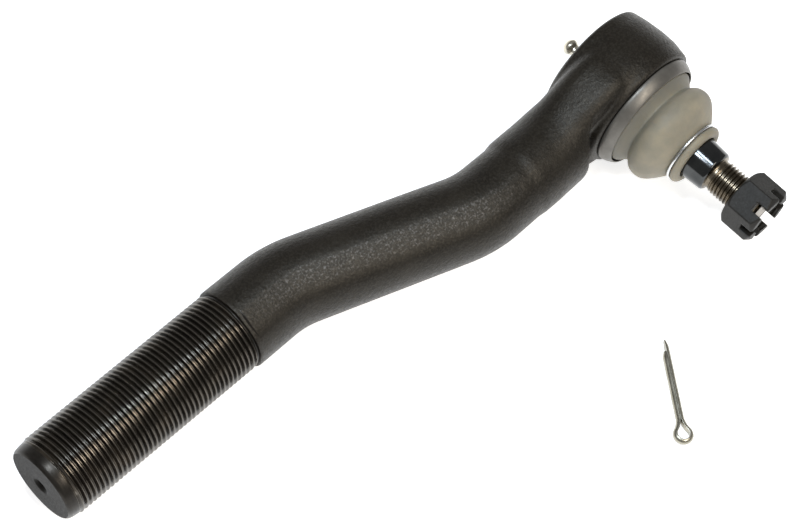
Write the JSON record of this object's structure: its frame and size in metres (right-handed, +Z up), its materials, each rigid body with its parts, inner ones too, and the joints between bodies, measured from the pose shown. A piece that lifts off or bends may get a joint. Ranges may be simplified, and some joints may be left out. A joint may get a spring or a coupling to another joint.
{
  "type": "tie rod end",
  "caption": "Greasable tie rod end: threaded rod, S-bent forged shank and a ball socket with a booted, tapered stud that swings and spins, plus castle nut and cotter pin.",
  "frame": {"origin": "centre of the ball, on the stud's axis", "axes": "+X along the shank from the socket towards the rod thread, +Y along the stud towards its thread, +Z up out of the plane of the S-bend"},
  "size_m": [0.2962, 0.1544, 0.0544],
  "materials": {
    "forging": "dark oiled forging scale, machined black thread",
    "seat_plastic": "moulded acetal",
    "plain_steel": "pressed steel",
    "spring_steel": "hardened spring steel",
    "zinc_steel": "bright zinc plate",
    "seal_rubber": "matte",
    "collar_steel": "satin grey",
    "boot_plastic": "milky translucent moulding",
    "stud_steel": "ground and polished taper",
    "nut_steel": "dark phosphate"
  },
  "bodies": {
    "housing": {"forged_body": "forging", "spring_cap": "plain_steel", "preload_spring": "spring_steel", "end_cover_plate": "plain_steel", "cover_seal_ring": "seal_rubber", "grease_fitting_body": "zinc_steel", "grease_fitting_spring": "spring_steel", "boot_base_ring": "collar_steel"},
    "swivel": {"front_bearing_seat": "seat_plastic", "rear_bearing_seat": "seat_plastic", "dust_boot": "boot_plastic"},
    "neck_carrier": {"boot_neck_ring": "zinc_steel"},
    "stud": {"ball_stud": "stud_steel"},
    "castle_nut": {"castle_nut": "nut_steel"},
    "cotter_pin": {"cotter_pin": "zinc_steel"},
    "nipple_ball": {"grease_fitting_ball": "zinc_steel"}
  },
  "joints": [
    {"name": "stud_direction", "type": "hinge", "parent": "housing", "child": "swivel", "pos_m": [0, 0, 0], "axis": [0, 1, 0], "continuous": true},
    {"name": "stud_tilt", "type": "hinge", "parent": "swivel", "child": "neck_carrier", "pos_m": [0, 0, 0], "axis": [0, 0, 1], "range_deg": [-20, 20], "deforming": ["dust_boot"]},
    {"name": "stud_spin", "type": "hinge", "parent": "neck_carrier", "child": "stud", "pos_m": [0, 0, 0], "axis": [0, 1, 0], "continuous": true},
    {"name": "nut_travel", "type": "slide", "parent": "stud", "child": "castle_nut", "axis": [0, 1, 0], "range_m": [-0.0098, 0.014]},
    {"name": "cotter_lift", "type": "slide", "parent": "housing", "child": "cotter_pin", "axis": [0, 0, 1], "range_m": [0, 0.05]},
    {"name": "nipple_ball_travel", "type": "slide", "parent": "housing", "child": "nipple_ball", "axis": [0, 1, 0], "range_m": [0, 0.0008], "stiffness_N_per_m": 200, "springref_m": -0.002, "deforming": ["grease_fitting_spring"]}
  ]
}
